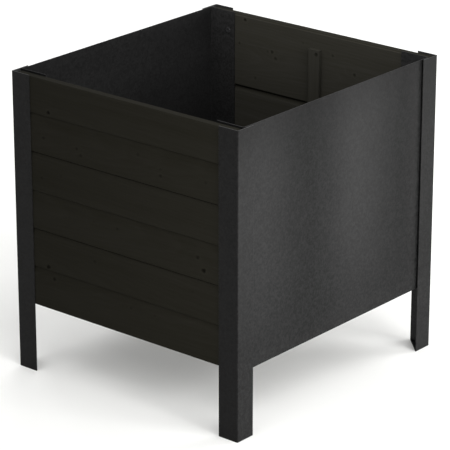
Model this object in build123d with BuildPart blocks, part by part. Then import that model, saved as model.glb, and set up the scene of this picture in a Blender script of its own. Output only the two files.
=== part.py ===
"""Square planter box: two board walls and two folded steel walls on four angle legs.

Millimetres, +Z up. The origin is on the ground at the middle of the box. The board walls
face -Y (front) and +Y (back), the steel walls face -X (left) and +X (right).
"""
import os

from build123d import *

os.makedirs("parts", exist_ok=True)

# ---- Driving dimensions ----

# Overall size, over the legs.
width = 478.0
depth = 514.0
height = 520.0

# Sheet steel of the legs, panels and foot plates.
sheet = 1.5
bend_inside_radius = 0.3
wall_clearance_height = 115.0

# Legs: a flange over the boards and a flange over the steel panel.
leg_board_flange = 39.0
leg_panel_flange = 38.0
foot_plate_corner_cut = 1.5
foot_plate_tip_cut = 1.5

# Steel panels, set back behind the legs by spacer strips.
spacer_thickness = 2.5
spacer_width = 12.5
spacer_edge_setback = 4.0
spacer_end_setback = 0.5
panel_side_flange = 54.5
panel_bottom_flange = 28.0
panel_flange_slit = 1.0
panel_side_flange_rise = 4.0

# Boards: each looks like two strips, with a bevelled groove under each lip.
board_thickness = 17.5
board_count = 3
board_top_drop = 2.5
board_bottom_rise = 6.0
board_end_gap = 6.0
top_board_trim = 6.3
bottom_board_extra = 2.0
groove_depth = 2.2
groove_bevel_height = 12.0
groove_slot_height = 1.3
lip_chamfer = 1.0
cut_edge_chamfer = 2.5
tongue_thickness = 5.5
tongue_length = 6.0
tongue_side_clearance = 0.25
tongue_end_clearance = 1.5
joint_back_gap = 4.2
joint_back_bevel = 3.0
joint_back_bevel_height = 6.0

# Battens, upright behind the middle of each board wall.
batten_width = 24.0
batten_thickness = 8.0
batten_top_drop = 29.5
batten_floor_gap = 4.0
batten_edge_chamfer = 0.8

# Floor slats, lying on the bottom flanges of the steel panels.
slat_count = 5
slat_thickness = 18.0
slat_gap = 9.0
slat_side_clearance = 1.0
slat_end_clearance = 1.5
slat_edge_chamfer = 1.5

# Pan head screws, through sheet into wood.
pan_head_diameter = 9.5
pan_head_height = 2.6
pan_head_rounding = 1.2
pan_shank_diameter = 4.0
pan_hole_clearance = 0.4
pan_socket_radius = 1.9
pan_socket_depth = 1.4
screw_point_length = 3.0
screw_point_cover = 0.5
pilot_clearance = 0.1
corner_screw_edge = 12.8
corner_screw_top_drop = 33.8
corner_screw_bottom_rise = 30.0
floor_screw_edge = 12.0
floor_screw_bite = 14.0

# Countersunk screws, through the battens into the boards.
batten_head_diameter = 7.0
batten_shank_diameter = 3.5
batten_head_sink = 0.6
batten_screw_top_drop = 7.0
batten_screw_offset = 6.0
batten_socket_radius = 1.4
batten_socket_depth = 1.2

# ---- Sizes that follow ----

half_width = width / 2
half_depth = depth / 2
bend_outside_radius = bend_inside_radius + sheet

panel_outer_x = half_width - sheet - spacer_thickness
panel_inner_x = panel_outer_x - sheet
board_outer_y = half_depth - sheet
board_inner_y = board_outer_y - board_thickness
flange_inner_y = board_inner_y - sheet

wall_bottom = wall_clearance_height
board_bottom = wall_bottom + board_bottom_rise
board_top = height - board_top_drop
board_half_length = half_width - sheet - board_end_gap
board_cover = (board_top + top_board_trim - board_bottom - bottom_board_extra) / board_count
strip_cover = board_cover / 2
first_joint = board_bottom + bottom_board_extra + board_cover

floor_bottom = wall_bottom + sheet
floor_top = floor_bottom + slat_thickness
batten_face_y = board_inner_y - batten_thickness
batten_top = board_top - batten_top_drop
batten_bottom = floor_top + batten_floor_gap

corner_screw_x = panel_outer_x - panel_side_flange + corner_screw_edge
corner_screw_high = height - corner_screw_top_drop
corner_screw_low = board_bottom + corner_screw_bottom_rise
corner_screw_heights = [
    corner_screw_low,
    first_joint + strip_cover / 2,
    corner_screw_high,
]
corner_screw_points = [
    (x_side * corner_screw_x, level) for x_side in (-1, 1) for level in corner_screw_heights
]
board_screw_bite = board_thickness - groove_depth - screw_point_cover
batten_screw_points = [
    (-batten_screw_offset, corner_screw_heights[0]),
    (-batten_screw_offset, corner_screw_heights[1]),
    (-batten_screw_offset, batten_top - batten_screw_top_drop),
]

slat_span = 2 * (flange_inner_y - slat_side_clearance)
slat_width = (slat_span - slat_gap * (slat_count - 1)) / slat_count
slat_pitch = slat_width + slat_gap
slat_half_length = panel_inner_x - slat_end_clearance
slat_centres = [(index - (slat_count - 1) / 2) * slat_pitch for index in range(slat_count)]
floor_screw_x = panel_outer_x - panel_bottom_flange + floor_screw_edge

side_names_x = {-1: "left", 1: "right"}
side_names_y = {-1: "front", 1: "back"}


def save(piece, name):
    """Label a finished piece and write it under its own name."""
    piece.label = name
    export_step(piece, f"parts/{name}.step")


def wall_plane(y_side, y_distance):
    """Upright plane facing outwards on one board wall, with its own y axis pointing up."""
    return Plane(
        origin=(0, y_side * y_distance, 0),
        x_dir=(-y_side, 0, 0),
        z_dir=(0, y_side, 0),
    )


def corner_outline(x_side, y_side, x_length, y_length, x_corner, y_corner):
    """Points of an angle section of one sheet thickness with its corner at the given place."""
    outer_x = x_side * x_corner
    outer_y = y_side * y_corner
    inner_x = x_side * (x_corner - sheet)
    inner_y = y_side * (y_corner - sheet)
    return [
        (outer_x, outer_y),
        (x_side * (x_corner - x_length), outer_y),
        (x_side * (x_corner - x_length), inner_y),
        (inner_x, inner_y),
        (inner_x, y_side * (y_corner - y_length)),
        (outer_x, y_side * (y_corner - y_length)),
    ]


def board_outline(bottom, strip_lips, top, has_groove, has_tongue):
    """Board section as (depth from the outer face, height), from the bottom lip round."""
    tongue_front = (board_thickness - tongue_thickness) / 2
    tongue_back = tongue_front + tongue_thickness
    points = [(lip_chamfer, bottom), (0, bottom + lip_chamfer)]
    for lip in strip_lips:
        points += [
            (0, lip - groove_bevel_height),
            (groove_depth, lip - groove_slot_height),
            (groove_depth, lip),
            (lip_chamfer, lip),
            (0, lip + lip_chamfer),
        ]
    if has_tongue:
        points += [
            (0, top - groove_bevel_height),
            (groove_depth, top - groove_slot_height),
            (tongue_front, top - groove_slot_height),
            (tongue_front, top + tongue_length),
            (tongue_back, top + tongue_length),
            (tongue_back, top - joint_back_gap),
            (board_thickness - joint_back_bevel, top - joint_back_gap),
            (board_thickness, top - joint_back_gap - joint_back_bevel_height),
        ]
    else:
        points += [
            (0, top - cut_edge_chamfer),
            (cut_edge_chamfer, top),
            (board_thickness - cut_edge_chamfer, top),
            (board_thickness, top - cut_edge_chamfer),
        ]
    points.append((board_thickness, bottom))
    if has_groove:
        groove_top = bottom + tongue_length + tongue_end_clearance
        points += [
            (tongue_back + tongue_side_clearance, bottom),
            (tongue_back + tongue_side_clearance, groove_top),
            (tongue_front - tongue_side_clearance, groove_top),
            (tongue_front - tongue_side_clearance, bottom),
        ]
    return points


def screw_place(across, y_side, y_distance, level):
    """Place of a screw driven outwards into a board wall: its head faces the middle of the box."""
    return Plane(origin=(across, y_side * y_distance, level), z_dir=(0, -y_side, 0))


def pan_screw(length):
    """Pan head screw with a hexagon socket; the underside of the head is at zero height."""
    head_radius = pan_head_diameter / 2
    shank_radius = pan_shank_diameter / 2
    with BuildPart() as screw:
        with BuildSketch(Plane.XZ) as half_section:
            with BuildLine():
                Polyline(
                    (0, pan_head_height),
                    (head_radius, pan_head_height),
                    (head_radius, 0),
                    (shank_radius, 0),
                    (shank_radius, screw_point_length - length),
                    (0, -length),
                    close=True,
                )
            make_face()
            rim = half_section.vertices().sort_by_distance((head_radius, 0, pan_head_height))[0]
            fillet(rim, pan_head_rounding)
        revolve(axis=Axis.Z)
        with BuildSketch(Plane.XY.offset(pan_head_height)):
            RegularPolygon(radius=pan_socket_radius, side_count=6)
        extrude(amount=-pan_socket_depth, mode=Mode.SUBTRACT)
    return screw.part


def countersunk_screw(length):
    """Countersunk screw with a hexagon socket; the top of the head is at zero height."""
    head_radius = batten_head_diameter / 2
    shank_radius = batten_shank_diameter / 2
    with BuildPart() as screw:
        with BuildSketch(Plane.XZ):
            with BuildLine():
                Polyline(
                    (0, 0),
                    (head_radius, 0),
                    (shank_radius, shank_radius - head_radius),
                    (shank_radius, screw_point_length - length),
                    (0, -length),
                    close=True,
                )
            make_face()
        revolve(axis=Axis.Z)
        with BuildSketch(Plane.XY):
            RegularPolygon(radius=batten_socket_radius, side_count=6)
        extrude(amount=-batten_socket_depth, mode=Mode.SUBTRACT)
    return screw.part


# ---- Legs, foot plates and spacer strips, one of each at every corner ----

for y_side in (-1, 1):
    for x_side in (-1, 1):
        corner_name = f"{side_names_y[y_side]}_{side_names_x[x_side]}"

        with BuildPart() as leg:
            with BuildSketch(Plane.XY) as leg_section:
                with BuildLine():
                    Polyline(
                        *corner_outline(
                            x_side, y_side, leg_board_flange, leg_panel_flange, half_width, half_depth
                        ),
                        close=True,
                    )
                make_face()
                outer_corner = (x_side * half_width, y_side * half_depth)
                fillet(leg_section.vertices().sort_by_distance(outer_corner)[0], bend_outside_radius)
                inner_corner = (x_side * (half_width - sheet), y_side * (half_depth - sheet))
                fillet(leg_section.vertices().sort_by_distance(inner_corner)[0], bend_inside_radius)
            extrude(amount=height)
        save(leg.part, f"leg_{corner_name}")

        with BuildPart() as foot_plate:
            plate_x = x_side * (half_width - sheet)
            plate_y = y_side * (half_depth - sheet)
            plate_end_x = x_side * (half_width - leg_board_flange)
            plate_end_y = y_side * (half_depth - leg_panel_flange)
            with BuildSketch(Plane.XY):
                with BuildLine():
                    Polyline(
                        (plate_x, plate_y - y_side * foot_plate_corner_cut),
                        (plate_x, plate_end_y + y_side * foot_plate_tip_cut),
                        (plate_x - x_side * foot_plate_tip_cut, plate_end_y + y_side * foot_plate_tip_cut),
                        (plate_end_x + x_side * foot_plate_tip_cut, plate_y - y_side * foot_plate_tip_cut),
                        (plate_end_x + x_side * foot_plate_tip_cut, plate_y),
                        (plate_x - x_side * foot_plate_corner_cut, plate_y),
                        close=True,
                    )
                make_face()
            extrude(amount=sheet)
        save(foot_plate.part, f"foot_plate_{corner_name}")

        with BuildPart() as leg_spacer:
            spacer_x = x_side * (panel_outer_x + spacer_thickness / 2)
            spacer_outer_y = half_depth - leg_panel_flange + spacer_edge_setback + spacer_width
            spacer_y = y_side * (spacer_outer_y - spacer_width / 2)
            with BuildSketch(Plane.XY.offset(wall_bottom + spacer_end_setback)):
                with Locations((spacer_x, spacer_y)):
                    Rectangle(spacer_thickness, spacer_width)
            extrude(amount=height - wall_bottom - 2 * spacer_end_setback)
        save(leg_spacer.part, f"leg_spacer_{corner_name}")


# ---- Folded steel panels ----

for x_side in (-1, 1):
    with BuildPart() as steel_panel:
        with BuildSketch(Plane.XY.offset(wall_bottom)) as panel_section:
            with Locations((x_side * (panel_outer_x - panel_side_flange / 2), 0)):
                Rectangle(panel_side_flange, 2 * board_inner_y)
            outside_corners = panel_section.vertices().group_by(Axis.X)[-1 if x_side > 0 else 0]
            fillet(outside_corners, bend_outside_radius)
            with BuildSketch(mode=Mode.PRIVATE) as panel_inside:
                with Locations((x_side * (panel_inner_x - panel_side_flange / 2), 0)):
                    Rectangle(panel_side_flange, 2 * flange_inner_y)
                inside_corners = panel_inside.vertices().group_by(Axis.X)[-1 if x_side > 0 else 0]
                fillet(inside_corners, bend_inside_radius)
            add(panel_inside.sketch, mode=Mode.SUBTRACT)
        extrude(amount=height - wall_bottom)

        # The side flanges stop short of the bottom fold.
        flange_middle_x = x_side * (panel_inner_x - panel_side_flange / 2)
        with BuildSketch(Plane.XY.offset(wall_bottom)):
            with Locations((flange_middle_x, 0)):
                Rectangle(panel_side_flange, depth)
        extrude(amount=panel_side_flange_rise, mode=Mode.SUBTRACT)

        # Bottom flange, folded in under the floor slats.
        bottom_flange_y = 2 * (flange_inner_y - panel_flange_slit)
        with BuildSketch(Plane.XY.offset(wall_bottom)):
            with Locations((x_side * (panel_outer_x - panel_bottom_flange / 2), 0)):
                Rectangle(panel_bottom_flange, bottom_flange_y)
        extrude(amount=sheet)

        # Clearance holes for the screws into the boards and into the slats.
        for y_side in (-1, 1):
            with BuildSketch(wall_plane(y_side, flange_inner_y)):
                with Locations(*[(-y_side * x_side * corner_screw_x, level) for level in corner_screw_heights]):
                    Circle((pan_shank_diameter + pan_hole_clearance) / 2)
            extrude(amount=sheet, mode=Mode.SUBTRACT)
        with BuildSketch(Plane.XY.offset(wall_bottom)):
            with Locations(*[(x_side * floor_screw_x, centre) for centre in slat_centres]):
                Circle((pan_shank_diameter + pan_hole_clearance) / 2)
        extrude(amount=sheet, mode=Mode.SUBTRACT)
    save(steel_panel.part, f"steel_panel_{side_names_x[x_side]}")


# ---- Boards, counted from the bottom ----

board_names = ["bottom"] + ["middle"] * (board_count - 2) + ["top"]
if board_count > 3:
    board_names = ["bottom"] + [f"middle_{index}" for index in range(1, board_count - 1)] + ["top"]

for y_side in (-1, 1):
    for index, board_name in enumerate(board_names):
        is_lowest = index == 0
        is_highest = index == board_count - 1
        lower_edge = board_bottom if is_lowest else first_joint + (index - 1) * board_cover
        upper_edge = board_top if is_highest else first_joint + index * board_cover
        strip_lip = upper_edge - strip_cover
        if is_highest:
            strip_lip = lower_edge + strip_cover
        outline = board_outline(
            lower_edge, [strip_lip], upper_edge, has_groove=not is_lowest, has_tongue=not is_highest
        )

        with BuildPart() as board:
            with BuildSketch(Plane.YZ):
                with BuildLine():
                    Polyline(
                        *[(y_side * (board_outer_y - inward), level) for inward, level in outline],
                        close=True,
                    )
                make_face()
            extrude(amount=board_half_length, both=True)
            for points, shank in (
                (corner_screw_points, pan_shank_diameter),
                (batten_screw_points, batten_shank_diameter),
            ):
                with BuildSketch(wall_plane(y_side, board_inner_y)):
                    with Locations(*[point for point in points if lower_edge < point[1] < upper_edge]):
                        Circle((shank + pilot_clearance) / 2)
                extrude(amount=board_screw_bite + pilot_clearance, mode=Mode.SUBTRACT)
        save(board.part, f"{side_names_y[y_side]}_board_{board_name}")


# ---- Battens ----

for y_side in (-1, 1):
    with BuildPart() as batten:
        with BuildSketch(Plane.XY.offset(batten_bottom)):
            with Locations((0, y_side * (board_inner_y - batten_thickness / 2))):
                Rectangle(batten_width, batten_thickness)
        extrude(amount=batten_top - batten_bottom)
        face_edges = batten.edges().filter_by(Axis.Z).group_by(Axis.Y)[0 if y_side > 0 else -1]
        chamfer(face_edges, batten_edge_chamfer)
        for across, level in batten_screw_points:
            with Locations(screw_place(-y_side * across, y_side, batten_face_y + batten_head_sink, level)):
                CounterSinkHole(
                    (batten_shank_diameter + pilot_clearance) / 2,
                    batten_head_diameter / 2,
                    depth=batten_thickness,
                    counter_sink_angle=90,
                )
            with BuildSketch(wall_plane(y_side, batten_face_y)):
                with Locations((across, level)):
                    Circle(batten_head_diameter / 2)
            extrude(amount=batten_head_sink, mode=Mode.SUBTRACT)
    save(batten.part, f"{side_names_y[y_side]}_batten")


# ---- Floor slats ----

for index, centre in enumerate(slat_centres):
    with BuildPart() as slat:
        with BuildSketch(Plane.XY.offset(floor_bottom)):
            with Locations((0, centre)):
                Rectangle(2 * slat_half_length, slat_width)
        extrude(amount=slat_thickness)
        top_edges = slat.faces().sort_by(Axis.Z)[-1].edges().filter_by(Axis.X)
        chamfer(top_edges, slat_edge_chamfer)
        with BuildSketch(Plane.XY.offset(floor_bottom)):
            with Locations((floor_screw_x, centre), (-floor_screw_x, centre)):
                Circle((pan_shank_diameter + pilot_clearance) / 2)
        extrude(amount=floor_screw_bite + pilot_clearance, mode=Mode.SUBTRACT)
    save(slat.part, f"floor_slat_{index + 1}")


# ---- Screws ----

corner_screw_length = sheet + board_screw_bite
floor_screw_length = sheet + floor_screw_bite
batten_screw_length = batten_thickness - batten_head_sink + board_screw_bite

corner_screw = pan_screw(corner_screw_length)
floor_screw = pan_screw(floor_screw_length)
batten_screw = countersunk_screw(batten_screw_length)

for y_side in (-1, 1):
    with BuildPart() as corner_screws:
        for across, level in corner_screw_points:
            with Locations(screw_place(-y_side * across, y_side, flange_inner_y, level)):
                add(corner_screw)
    save(corner_screws.part, f"{side_names_y[y_side]}_corner_screws")

    with BuildPart() as batten_screws:
        for across, level in batten_screw_points:
            with Locations(screw_place(-y_side * across, y_side, batten_face_y + batten_head_sink, level)):
                add(batten_screw)
    save(batten_screws.part, f"{side_names_y[y_side]}_batten_screws")

for x_side in (-1, 1):
    with BuildPart() as floor_screws:
        for centre in slat_centres:
            with Locations(Plane(origin=(x_side * floor_screw_x, centre, wall_bottom), z_dir=(0, 0, -1))):
                add(floor_screw)
    save(floor_screws.part, f"floor_screws_{side_names_x[x_side]}")
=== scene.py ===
"""Looks of a square planter box: stained softwood boards, coated sheet steel, and a plain pale studio."""
import math

import bmesh
import bpy
import numpy as np
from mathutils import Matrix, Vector


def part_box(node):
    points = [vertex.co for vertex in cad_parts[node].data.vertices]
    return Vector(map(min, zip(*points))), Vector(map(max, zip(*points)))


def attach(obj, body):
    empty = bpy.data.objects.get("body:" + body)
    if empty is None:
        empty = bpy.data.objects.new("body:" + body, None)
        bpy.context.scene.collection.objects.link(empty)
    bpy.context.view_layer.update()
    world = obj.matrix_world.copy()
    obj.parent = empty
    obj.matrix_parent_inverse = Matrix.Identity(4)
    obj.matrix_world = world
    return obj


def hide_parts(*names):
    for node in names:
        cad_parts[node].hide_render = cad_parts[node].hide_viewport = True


bl_info = {
    "name": "Planter Box",
    "version": (1, 0, 0),
    "blender": (4, 5, 0),
    "location": "3D View > Sidebar > Planter",
    "description": "Builds the boards, folded steel and screws of a square planter box, and its studio",
    "category": "Object",
}

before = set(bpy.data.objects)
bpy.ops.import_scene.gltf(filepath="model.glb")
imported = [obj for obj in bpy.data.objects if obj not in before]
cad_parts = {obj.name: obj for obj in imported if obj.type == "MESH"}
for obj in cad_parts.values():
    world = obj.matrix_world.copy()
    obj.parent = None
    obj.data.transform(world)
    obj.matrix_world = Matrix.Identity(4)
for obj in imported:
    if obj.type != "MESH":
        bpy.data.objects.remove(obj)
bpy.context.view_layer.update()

MM = 0.001
SIDES = (-1, 1)
Y_NAMES = {-1: "front", 1: "back"}
X_NAMES = {-1: "left", 1: "right"}
CORNERS = [(y_side, x_side) for y_side in SIDES for x_side in SIDES]
BOARD_ROWS = ("bottom", "middle", "top")

board_low, board_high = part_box("front_board_middle")
BOARD_THICKNESS = board_high.y - board_low.y
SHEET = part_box("foot_plate_front_left")[1].z
WALL_MIDDLE_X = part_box("steel_panel_right")[1].x - SHEET / 2
FLANGE_MIDDLE_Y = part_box("steel_panel_right")[1].y - SHEET / 2

# Spacing of the mesh points: along the timber, then round its section on planed faces, sawn faces, the tops
# of the slats, and edges with little to show.
ALONG_SPACING = 1.8 * MM
PLANED_SPACING = 1.5 * MM
SAWN_SPACING = 1.9 * MM
SLAT_SPACING = 2 * MM
EDGE_SPACING = 4 * MM
# Room round a tongue in its groove: on each side, and past its tip.
TONGUE_SIDE_GAP = 0.25 * MM
TONGUE_TIP_GAP = 1.5 * MM
# Radius that sanding leaves on the battens' edges, and that the coat leaves on the screws' edges.
BATTEN_ROUNDING = 0.3 * MM
SCREW_ROUNDING = 0.15 * MM
# Below the first angle two faces are one, and above the second their edge is rounded.
FLAT_ANGLE = math.radians(0.5)
SHARP_ANGLE = math.radians(38)


def linear_colour(hex_value):
    """Linear red, green and blue of an sRGB hex value such as "1c1b19"."""
    channels = [int(hex_value[index:index + 2], 16) / 255 for index in (0, 2, 4)]
    return tuple(c / 12.92 if c <= 0.04045 else ((c + 0.055) / 1.055) ** 2.4 for c in channels)


# ---- Timber as it grew: where each board lay in the trunk, and its knots ----

# For each board: the pith's depth behind the outer face, its level in the board, how far it leans along
# the board, and the knots as (across, level, radius, darkness), all lengths in mm. Levels are above ground.
# The rim sheen of a highest board is painted reflection: how far its top edge is coloured towards the paler
# tone of the sawn faces.
BOARD_TIMBER = {
    "front_top": {
        "pith": (62, 436, 0.020),
        "rim_sheen": 0.01,
        "knots": [
            (-160, 464.5, 3.0, 1.5), (-172, 419, 2.6, 0.8), (-99, 416.5, 2.6, 0.85), (-90, 406.5, 2.9, 0.6),
            (33, 436, 2.7, 0.6), (80, 411, 2.8, 0.75), (80, 422, 2.1, 0.5), (173, 421, 2.6, 0.5),
        ],
    },
    "front_middle": {
        "pith": (48, 301, 0.014),
        "knots": [
            (-178, 349, 2.8, 0.5), (-135, 362, 2.4, 0.5), (-64, 300, 2.2, 0.45), (-13, 300, 2.5, 0.8),
            (156, 293.5, 3.2, 0.8), (168.5, 274.5, 3.6, 1.3),
        ],
    },
    "front_bottom": {
        "pith": (55, 186, -0.018),
        "knots": [
            (-63.5, 231, 3.0, 0.6), (-167.5, 195.5, 3.4, 1.5), (-155, 177, 3.1, 1.0), (14, 170.5, 2.4, 0.7),
            (65, 170.5, 2.3, 0.45), (145, 233, 2.1, 0.35),
        ],
    },
    "back_top": {
        "pith": (60, 448, 0.016),
        "rim_sheen": 0.19,
        "knots": [
            (-173, 466, 2.4, 0.7), (-100, 464, 2.8, 0.9), (-109.5, 463, 2.3, 0.4), (-92, 453.5, 3.0, 0.7),
            (-137, 409.5, 2.7, 0.5), (-160.5, 510.5, 2.9, 1.1), (79.5, 458.5, 2.8, 0.8),
            (32.5, 483, 2.5, 0.65), (-32, 493, 2.1, 0.3), (151, 424, 3.6, 0.6),
        ],
    },
    "back_middle": {
        "pith": (50, 322, -0.015),
        "knots": [
            (-142, 301, 4.4, 0.8), (-47, 356, 3.0, 0.6), (62, 289, 3.8, 0.7), (139, 345, 4.6, 0.9),
            (171, 310, 2.6, 0.5),
        ],
    },
    "back_bottom": {
        "pith": (57, 170, 0.020),
        "knots": [
            (-118, 219, 4.0, 0.7), (-71, 158, 3.0, 0.5), (29, 226, 4.8, 0.9), (96, 176, 3.4, 0.6),
            (163, 207, 2.8, 0.6),
        ],
    },
}

# A knot's lean with depth, the share at which distances along the grain count, so that it is longer that
# way, and the place and width of its pale collar in knot radii.
KNOT_LEAN = 0.18
ALONG_SHARE = 0.86
COLLAR_PLACE = 1.55
COLLAR_WIDTH = 0.42
COLLAR_STRENGTH = 0.18
# How far the rings bulge round a knot, and over what length and height, in knot radii.
RING_BULGE = 1.7
BULGE_LENGTH = 8
BULGE_HEIGHT = 2.4

# For each floor slat: the pith's depth under the top face, its place across the slat, its lean, and the
# knots as (along, across from the slat's middle line, radius, darkness).
SLAT_TIMBER = [
    {"pith": (55, 9, 0.018), "knots": [(-121, 14, 3.6, 0.8), (88, -19, 4.4, 0.7)]},
    {"pith": (48, -12, -0.013), "knots": [(-34, -8, 4.8, 0.9), (166, 21, 3.0, 0.6)]},
    {"pith": (60, 4, 0.015), "knots": [(-187, 5, 3.2, 0.6), (43, 17, 4.0, 0.8), (131, -24, 2.8, 0.5)]},
    {"pith": (52, 16, -0.020), "knots": [(-92, -21, 4.2, 0.8), (19, 8, 3.0, 0.5)]},
    {"pith": (57, -5, 0.012), "knots": [(-153, 18, 4.6, 0.9), (101, -6, 3.6, 0.7)]},
]


class PlanterWoodSettings(bpy.types.PropertyGroup):
    """Sizes and colours of the stained softwood."""

    stain_colour: bpy.props.FloatVectorProperty(
        name="Stain", description="Colour of the stain over the soft early wood",
        subtype="COLOR", size=3, min=0, max=1, default=linear_colour("171611"))
    late_wood_colour: bpy.props.FloatVectorProperty(
        name="Late wood", description="Colour of the stain over the hard lines of the grain",
        subtype="COLOR", size=3, min=0, max=1, default=linear_colour("1d1c18"))
    knot_colour: bpy.props.FloatVectorProperty(
        name="Knot", description="Colour of the stain over the heart of a knot",
        subtype="COLOR", size=3, min=0, max=1, default=linear_colour("0b0a07"))
    # The inner, sawn faces are coloured paler than the planed ones by this factor.
    sawn_lift: bpy.props.FloatProperty(
        name="Sawn side lift", description="How much paler the stain dries on the inner, sawn faces",
        min=0.5, max=6, default=4.2)
    ring_spacing: bpy.props.FloatProperty(
        name="Ring spacing", description="Width of one year's growth",
        unit="LENGTH", subtype="DISTANCE", min=0.5 * MM, max=12 * MM, default=4.2 * MM)
    relief: bpy.props.FloatProperty(
        name="Relief", description="Depth of the worn early wood below the grain lines and knots",
        unit="LENGTH", subtype="DISTANCE", min=0, max=1 * MM, default=0.22 * MM)
    lip_chamfer: bpy.props.FloatProperty(
        name="Lip chamfer", description="Chamfer on the edge of each board lip",
        unit="LENGTH", subtype="DISTANCE", min=0.2 * MM, max=2 * MM, default=1 * MM)
    rim_chamfer: bpy.props.FloatProperty(
        name="Rim chamfer", description="Chamfer on both top edges of the highest boards",
        unit="LENGTH", subtype="DISTANCE", min=0.5 * MM, max=4 * MM, default=2.5 * MM)
    groove_depth: bpy.props.FloatProperty(
        name="Groove depth", description="Depth of the shadow groove under each lip",
        unit="LENGTH", subtype="DISTANCE", min=1 * MM, max=6 * MM, default=2.2 * MM)
    groove_height: bpy.props.FloatProperty(
        name="Groove height", description="Height of the bevel that runs down from a groove to the face",
        unit="LENGTH", subtype="DISTANCE", min=4 * MM, max=20 * MM, default=12 * MM)
    slot_height: bpy.props.FloatProperty(
        name="Slot height", description="Height of the upright part of the groove, right under the lip",
        unit="LENGTH", subtype="DISTANCE", min=0.5 * MM, max=4 * MM, default=1.3 * MM)
    tongue_length: bpy.props.FloatProperty(
        name="Tongue length", description="Length of the tongue on a board's top edge",
        unit="LENGTH", subtype="DISTANCE", min=3 * MM, max=10 * MM, default=6 * MM)
    tongue_thickness: bpy.props.FloatProperty(
        name="Tongue thickness", description="Thickness of the tongue on a board's top edge",
        unit="LENGTH", subtype="DISTANCE", min=3 * MM, max=8 * MM, default=5.5 * MM)
    back_gap: bpy.props.FloatProperty(
        name="Back gap", description="Height of the gap between two boards on the inside",
        unit="LENGTH", subtype="DISTANCE", min=1 * MM, max=6 * MM, default=4.2 * MM)
    back_bevel: bpy.props.FloatProperty(
        name="Back bevel", description="Depth of the bevel under that gap, at its top",
        unit="LENGTH", subtype="DISTANCE", min=1 * MM, max=5 * MM, default=3 * MM)
    back_bevel_height: bpy.props.FloatProperty(
        name="Back bevel height", description="Height of the bevel under that gap",
        unit="LENGTH", subtype="DISTANCE", min=1 * MM, max=12 * MM, default=6 * MM)
    slat_chamfer: bpy.props.FloatProperty(
        name="Slat chamfer", description="Chamfer on the top edges of the floor slats",
        unit="LENGTH", subtype="DISTANCE", min=0.5 * MM, max=3 * MM, default=1.5 * MM)


class PlanterSteelSettings(bpy.types.PropertyGroup):
    """Sizes and colours of the coated steel."""

    coat_colour: bpy.props.FloatVectorProperty(
        name="Coat", description="Colour of the black coat where it lies thick",
        subtype="COLOR", size=3, min=0, max=1, default=linear_colour("121212"))
    coat_pale_colour: bpy.props.FloatVectorProperty(
        name="Thin coat", description="Colour of the black coat where some of the zinc shows through",
        subtype="COLOR", size=3, min=0, max=1, default=linear_colour("1c1c1c"))
    # The sheen bands are painted reflection.
    painted_sheen_strength: bpy.props.FloatProperty(
        name="Sheen bands", description="How much paler the coat is in the upright bands on outer faces",
        min=0, max=3, default=1.27)
    spangle_width: bpy.props.FloatProperty(
        name="Spangle width", description="Width of the zinc crystals that mottle the coat",
        unit="LENGTH", subtype="DISTANCE", min=1 * MM, max=20 * MM, default=3.2 * MM)
    edge_rounding: bpy.props.FloatProperty(
        name="Edge rounding", description="Radius that the coat gives the cut edges of the sheet",
        unit="LENGTH", subtype="DISTANCE", min=0.05 * MM, max=0.7 * MM, default=0.3 * MM)


class PlanterStageSettings(bpy.types.PropertyGroup):
    """Camera, floor and lights."""

    floor_colour: bpy.props.FloatVectorProperty(
        name="Floor", description="Colour of the plain pale floor",
        subtype="COLOR", size=3, min=0, max=1, default=linear_colour("f4f4f2"))
    floor_size: bpy.props.FloatProperty(
        name="Floor size", description="Side of the square floor",
        unit="LENGTH", subtype="DISTANCE", min=2, max=60, default=24)
    room_level: bpy.props.FloatProperty(
        name="Room light", description="Brightness of the plain grey room round the stage",
        min=0, max=5, default=0.45)
    camera_azimuth: bpy.props.FloatProperty(
        name="Camera azimuth", description="Direction of the camera round the box, 0 at the front",
        unit="ROTATION", subtype="ANGLE", default=math.radians(40.053))
    camera_elevation: bpy.props.FloatProperty(
        name="Camera elevation", description="Height angle of the camera",
        unit="ROTATION", subtype="ANGLE", default=math.radians(20.622))
    camera_distance: bpy.props.FloatProperty(
        name="Camera distance", description="Distance from the camera to its target",
        unit="LENGTH", subtype="DISTANCE", min=0.5, max=20, default=4.4386)
    camera_target: bpy.props.FloatVectorProperty(
        name="Camera target", description="Point that the camera looks at",
        unit="LENGTH", subtype="TRANSLATION", size=3, default=(-0.00165, -0.00153, 0.23642))
    camera_lens: bpy.props.FloatProperty(
        name="Lens", description="Focal length on a 36 mm wide sensor, in millimetres",
        min=20, max=600, default=212.3)


# ---- Materials ----

# The Mix node has one result socket for each kind of data, and the colour's is the third.
COLOUR_RESULT = 2

# How saw dust in the stain shifts the red, green and blue of the sawn faces.
SAW_DUST_TINT = (0.96, 0.975, 1.06)
# Painted shade deeper in the box: the sawn faces are coloured darker up to the first level, and less so up
# to the second. The shares are what is left of the sawn side lift there.
SHADE_LEVELS = (0.365, 0.48)
SHADE_SHARES = (0.72, 0.98)
# The battens took a little more stain than the boards. Their planed sides are coloured darker still, a
# painted shade.
BATTEN_SHARE = 0.92
BATTEN_SHADED_SIDE_LIFT = 2.4
# Upright pith that the battens' rings run round, in the plane of the floor.
BATTEN_PITH = (-0.030, -0.021)
# Places along the boards, and the lift of the planed faces there.
BRUSHED = {"From Min": -0.20, "From Max": 0.22, "To Min": 1.05, "To Max": 1.38}
# How much the grain lines count in the tone, and how much the soaking of the stain does.
LATE_WOOD_SHARE = 0.2
SOAK_SHARE = 0.9

# Half the width of a steel wall with its legs, and how far the bands on it wander.
BAND_HALF_WIDTH = 0.24
BAND_WANDER = 0.03
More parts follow.
